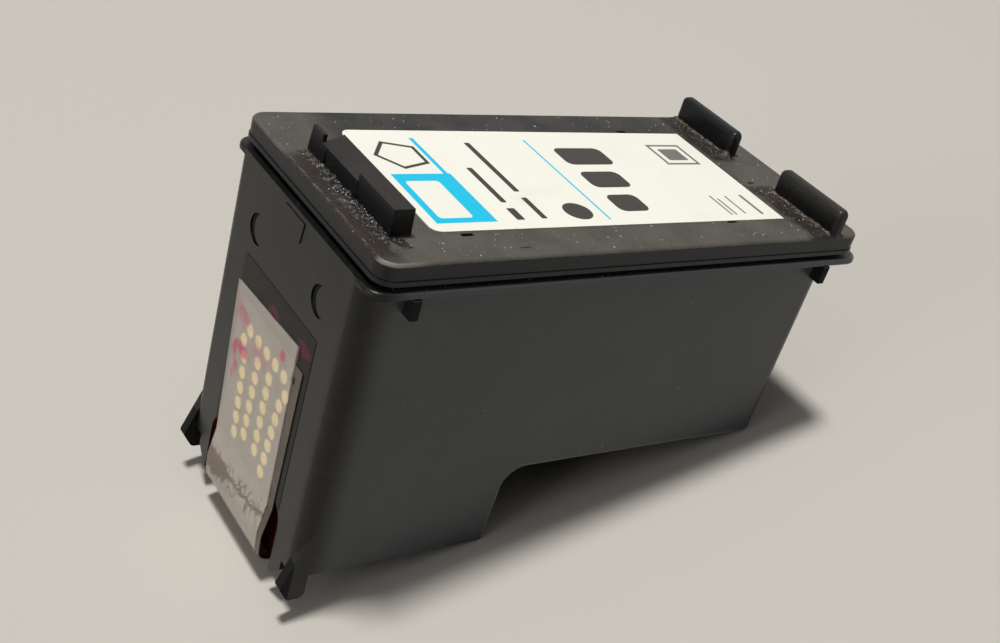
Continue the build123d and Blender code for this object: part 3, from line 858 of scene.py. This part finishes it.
def tape_film():
    """Pale tape: milky, stained with magenta ink near its top, scribbled brown at the bend."""
    paint = Paint("tape_film")
    colour = paint.mix((0.92, 0.83, 0.74), (1.0, 0.93, 0.85), paint.noise(5.0, 3))
    marks = 0.0
    for centre, radii, strength in magenta_stains:
        stain = paint.times(paint.spot(centre, radii, 0.35, 0.45), strength)
        colour = paint.mix(colour, (0.80, 0.08, 0.24), stain)
        marks = paint.most(stain, marks)
    band = brown_band(paint)
    colour = paint.mix(colour, (0.22, 0.15, 0.11), paint.times(band, 0.9))
    marks = paint.most(marks, paint.times(band, 2.2))
    paint.join(tape_cover(paint, marks), paint.shader.inputs["Alpha"])
    paint.bump(paint.noise(3.0, 2), 0.3, 0.08)
    return paint.finish(colour, 0.34)


wear("tape", tape_film())

# %% [markdown]
# ## What the case holds
#
# The foam, the filter, the print head and its glue are out of sight or under the tape. They still
# get the finish of the real thing, because someone may take the model apart.


# %% Inner pieces
def plain_finish(name, first, second, size, roughness, grain, **sockets):
    """A finish of two colours in blotches of some size, with a fine grain."""
    paint = Paint(name)
    colour = paint.mix(first, second, paint.noise(size, 4, 0.6))
    paint.bump(paint.noise(grain, 2), 0.4, 0.03)
    return paint.finish(colour, roughness, **sockets)


wear("foam", plain_finish("soaked_foam", (0.01, 0.01, 0.012), (0.04, 0.04, 0.045), 2.0, 0.6, 0.4))
wear("filter_screen", plain_finish("steel_mesh", (0.4, 0.4, 0.4), (0.6, 0.6, 0.6), 0.3, 0.35, 0.08,
                                   Metallic=0.9))
wear("die", plain_finish("silicon", (0.10, 0.10, 0.13), (0.16, 0.15, 0.20), 1.0, 0.12, 0.3, Metallic=0.4))
wear("die_glue", plain_finish("epoxy", (0.05, 0.045, 0.04), (0.09, 0.08, 0.07), 0.6, 0.4, 0.2))
wear("nozzle_plate", plain_finish("nozzle_foil", (0.62, 0.48, 0.24), (0.45, 0.33, 0.18), 0.9, 0.3, 0.1,
                                  Metallic=0.85))
bead_finish = plain_finish("sealant", (0.02, 0.02, 0.02), (0.05, 0.05, 0.05), 0.5, 0.25, 0.2)
wear("sealant_front", bead_finish)
wear("sealant_rear", bead_finish)

# %% [markdown]
# ## Contacts a hair under the tape
#
# The tape lies on the contacts, face to face. Two faces in one plane fight over which of them a ray
# meets first, and behind a see-through film some contacts then look pale. The solids stay as they
# are, so the contacts that show are a copy whose outer faces lie twelve thousandths of a
# millimetre deeper. The solid's triangles are loose, so the copy's equal corners are merged.

# %% Contacts
contact_top = -1.02
contact_drop = 0.012


def mesh_piece(name, points, faces, material, slot):
    """A piece from level points in millimetres and faces, riding on the cartridge."""
    mesh = bpy.data.meshes.new(name)
    mesh.from_pydata(to_rest(points).tolist(), [], faces.tolist())
    mesh.validate()
    mesh.materials.append(material)
    piece = bpy.data.objects.new(name, mesh)
    bpy.context.scene.collection.objects.link(piece)
    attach(piece, "root")
    print(name, len(mesh.vertices), "points", len(mesh.polygons), "faces")
    return piece


def merged_copy(name):
    """The level points of a solid in millimetres, each kept once, and its triangles."""
    mesh = nodes[name].data
    corners = np.empty(3 * len(mesh.polygons), np.int32)
    mesh.polygons.foreach_get("vertices", corners)
    points, merged = np.unique(level_points(name).round(4), axis=0, return_inverse=True)
    return points, merged.reshape(-1)[corners].reshape(-1, 3)


contact_points, contact_faces = merged_copy("contact_pads")
contact_points[contact_points[:, 0] < contact_top + contact_drop, 0] += contact_drop
gold_contacts = mesh_piece("gold_contacts", contact_points, contact_faces,
                           nodes["contact_pads"].data.materials[0], "gold")
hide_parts("contact_pads")

# %% [markdown]
# ## Dried ink
#
# Ink has seeped out and dried in a rough, grainy crust before the latch and before both fins. It
# is red brown on its grains and black between them, blackest at the latch. Pale salt glints in it,
# and a painted highlight runs in a broken line at the foot of the fins.


# %% Finish of the dried ink
def dried_ink():
    """Brown-black grains, a black foot before the latch, pale salt and a painted highlight by the fins."""
    paint = Paint("dried_ink")
    lumps = paint.noise(0.35, 4, 0.7)
    colour = paint.mix((0.006, 0.0045, 0.004), (0.045, 0.023, 0.015), paint.ramp(lumps, 0.4, 0.7))
    foot = paint.times(paint.ramp(paint.x, 1.6, 2.8), paint.ramp(paint.x, 9.0, 8.0), 0.75)
    colour = paint.mix(colour, (0.003, 0.0022, 0.002), foot)
    # Painted highlight: a broken pale line at the foot of the fins
    painted_foot_highlight = paint.apart(paint.linear(paint.noise(0.9, 4, 0.7), 0.7, paint.x), 66.05)
    broken = paint.ramp(paint.noise(0.6, 3, 0.6), 0.42, 0.6)
    painted_foot_highlight = paint.times(paint.ramp(painted_foot_highlight, 0.16, 0.04), broken, 0.5)
    colour = paint.mix(colour, (0.32, 0.26, 0.20), painted_foot_highlight)
    colour = paint.mix(colour, (0.42, 0.38, 0.33), paint.specks(0.5, 0.06, 0.12))
    paint.bump(lumps, 0.7, 0.1)
    return paint.finish(colour, 0.48)


ink_crust_finish = dried_ink()

# %% [markdown]
# A crust is a height over a patch of the lid, and a closed mesh: its upper sheet follows the
# height, its lower sheet lies just under the surface, and where the height is zero the crust ends
# inside the lid. The noise that shapes it is made here with numpy, because it has to move vertices
# and not only colour them.

# %% Noise and closed crusts from arrays
crust_step = 0.11
crust_sunk = 0.06


def lattice_noise(x, y, size, seed):
    """Random values on a square lattice, blended between its points by smooth steps; 0 to 1."""
    values = np.random.default_rng(seed).random((256, 256))
    u, v = x / size + 64, y / size + 64
    i, j = np.floor(u).astype(int), np.floor(v).astype(int)
    s, t = u - i, v - j
    s, t = s * s * (3 - 2 * s), t * t * (3 - 2 * t)
    low = values[i % 256, j % 256] * (1 - s) + values[(i + 1) % 256, j % 256] * s
    high = values[i % 256, (j + 1) % 256] * (1 - s) + values[(i + 1) % 256, (j + 1) % 256] * s
    return low * (1 - t) + high * t


def smooth(value, low, high):
    """0 below low, 1 above high, and the smooth step 3tt - 2ttt between."""
    t = np.clip((value - low) / (high - low), 0, 1)
    return t * t * (3 - 2 * t)


def blanket(name, x_range, y_range, height):
    """A closed crust on the lid: an upper grid at height(x, y) and a flat lower grid, joined."""
    xs = np.arange(x_range[0], x_range[1] + crust_step / 2, crust_step)
    ys = np.arange(y_range[0], y_range[1] + crust_step / 2, crust_step)
    x, y = np.meshgrid(xs, ys, indexing="ij")
    z = height(x, y)
    print(name, "covers", round(float((z > 0).mean()), 2), "of its patch, up to", z.max().round(2), "mm")
    z = np.where(z > 0, z, -crust_sunk * 0.5)
    z[[0, -1], :] = -crust_sunk
    z[:, [0, -1]] = -crust_sunk
    upper = np.stack([x, y, z], -1).reshape(-1, 3)
    lower = np.stack([x, y, np.full_like(x, -crust_sunk)], -1).reshape(-1, 3)
    rows, columns = x.shape
    index = np.arange(rows * columns).reshape(rows, columns)
    a, b, c, d = index[:-1, :-1], index[1:, :-1], index[1:, 1:], index[:-1, 1:]
    top = np.stack([a, b, c, d], -1).reshape(-1, 4)
    bottom = top[:, ::-1] + rows * columns
    rim = np.concatenate([index[:-1, 0], index[-1, :-1], index[:0:-1, -1], index[0, :0:-1]])
    after = np.roll(rim, -1)
    wall = np.stack([rim, rim + rows * columns, after + rows * columns, after], -1)
    return mesh_piece(name, np.concatenate([upper, lower]), np.concatenate([top, bottom, wall]),
                      ink_crust_finish, "lid_plastic")


sample = lattice_noise(*np.meshgrid(np.linspace(0, 30, 90), np.linspace(0, 30, 90)), 1.0, 7)
print("noise from", sample.min().round(3), "to", sample.max().round(3))

# %% [markdown]
# At the latch the crust is deepest against its foot, thins out towards the lid's front edge and
# reaches round the latch's near corner. At the fins it climbs towards them and ends in a low heel,
# with one round lump before the far fin.

# %% Crust of dried ink
latch_front = 3.15
latch_near_side = -11.9
fins_front = 66.0


def grain_height(x, y, seed):
    """Three sizes of grains, added up; about 0 to 1."""
    coarse = lattice_noise(x, y, 0.9, seed)
    middle = lattice_noise(x, y, 0.42, seed + 1)
    fine = lattice_noise(x, y, 0.2, seed + 2)
    return 0.5 * coarse + 0.3 * middle + 0.2 * fine


def latch_crust(x, y):
    """Deep at the foot of the latch and thinner with the distance from it, to nothing at 3 mm."""
    before = np.maximum(latch_front - x, 0)
    beside = np.maximum(latch_near_side - y, 0)
    patches = 1.6 * (lattice_noise(x, y, 2.3, 7) - 0.5)
    near_latch = smooth(-np.hypot(before, beside * 0.85) + patches, -2.9, 0.2)
    cover = near_latch * (1 - smooth(y, 5.5, 8.3)) * (1 - smooth(x, 4.2, 5.6))
    return (grain_height(x, y, 11) - 0.82 + 0.62 * cover) * (0.25 + 0.45 * near_latch)


def fin_crust(side):
    """Height of the crust before the fin on one side, as a function of x and y."""
    def height(x, y):
        near_fin = smooth(x, 62.3, 65.9)
        along = smooth(side * y, 3.6, 5.2)
        lump = np.exp(-((x - fins_front) ** 2 + (y - side * 4.9) ** 2) / 0.5) * (side > 0)
        heel = 0.16 * smooth(x, 65.4, 66.1) * along
        return (grain_height(x, y, 31 + side) - 0.83 + 0.6 * near_fin * along) * 0.45 + 0.5 * lump + heel
    return height


blanket("latch_ink_crust", (0.35, 5.8), (-15.4, 8.6), latch_crust)
blanket("far_fin_ink_crust", (62.0, 66.2), (3.4, 16.6), fin_crust(1))
blanket("near_fin_ink_crust", (62.0, 66.2), (-16.6, -3.4), fin_crust(-1))

# %% [markdown]
# ## Dust
#
# Real specks have a size and catch the light, which a painted dot does not. Each speck here is a
# small flattened eight-sided grain, and hundreds of them are still only a light mesh, because
# all are made as one array: a unit grain, times a random size, turned and moved to its place.

# %% Dust specks
lid_start = 0.8
lid_run = 70.2
lid_width = 32.6
label_ends = (9.0, 62.0)
label_half_width = 12.0
flange_side = 16.2
flange_top = -3.25


def speck_mesh(places, sizes, seed):
    """Points and faces of one flattened octahedron at each place."""
    random = np.random.default_rng(seed)
    unit = np.array([[1, 0, 0], [0, 1, 0], [-1, 0, 0], [0, -1, 0], [0, 0, 1], [0, 0, -1]], float)
    turn = random.random(len(places)) * 2 * np.pi
    stretch = np.stack([0.6 + 0.8 * random.random(len(places)), 0.6 + 0.8 * random.random(len(places)),
                        np.full(len(places), 0.6)], -1)
    points = unit[None] * stretch[:, None] * np.asarray(sizes)[:, None, None]
    c, s = np.cos(turn)[:, None], np.sin(turn)[:, None]
    turned = np.stack([c * points[..., 0] - s * points[..., 1],
                       s * points[..., 0] + c * points[..., 1], points[..., 2]], -1)
    points = (turned + np.asarray(places)[:, None]).reshape(-1, 3)
    sides = np.array([[0, 1, 4], [1, 2, 4], [2, 3, 4], [3, 0, 4], [1, 0, 5], [2, 1, 5], [3, 2, 5],
                      [0, 3, 5]])
    faces = (sides[None] + 6 * np.arange(len(places))[:, None, None]).reshape(-1, 3)
    return points, faces


def dust_on_lid(count, seed):
    """Places on the top of the lid, none of them on the label."""
    random = np.random.default_rng(seed)
    x = lid_start + lid_run * random.random(4 * count)
    y = lid_width * (random.random(4 * count) - 0.5)
    free = (np.abs(y) > label_half_width) | (x < label_ends[0]) | (x > label_ends[1])
    return np.stack([x, y, 0 * x], -1)[free][:count]


def dust_on_flange(count, seed):
    """Places on the lip of the flange that shows beside the groove, on both long sides."""
    random = np.random.default_rng(seed)
    x = 1.5 + 68 * random.random(count)
    side = np.where(random.random(count) < 0.5, -1, 1)
    y = side * (flange_side + 0.75 * random.random(count))
    return np.stack([x, y, np.full(count, flange_top)], -1)


def salt_on_crust(count, seed):
    """Places in the crust before the latch and before the fins."""
    random = np.random.default_rng(seed)
    latch = np.stack([1.2 + 2.2 * random.random(count) ** 0.6, -12.5 + 18 * random.random(count),
                      0.15 + 0.25 * random.random(count)], -1)
    side = np.where(random.random(count) < 0.5, -1, 1)
    fins = np.stack([63.2 + 2.8 * random.random(count) ** 0.6, side * (4.6 + 12 * random.random(count)),
                     0.05 + 0.2 * random.random(count)], -1)
    return np.concatenate([latch, fins[: count // 2]])


dust_finish = plain_finish("dust", (0.50, 0.47, 0.42), (0.68, 0.66, 0.62), 0.5, 0.7, 0.1)
random_sizes = np.random.default_rng(5)
dust_places = np.concatenate([dust_on_lid(420, 1), dust_on_flange(170, 2), salt_on_crust(130, 3)])
dust_sizes = 0.035 + 0.085 * random_sizes.random(len(dust_places)) ** 3
mesh_piece("dust_specks", *speck_mesh(dust_places, dust_sizes, 4), dust_finish, "lid_plastic")

# %% [markdown]
# ## Floor finish and the end
#
# The floor is a plain pale warm grey.

# %% Floor finish
floor_paint = Paint("floor")
floor.data.materials.append(floor_paint.finish((0.56, 0.535, 0.49), 0.85, Specular_IOR_Level=0.2))
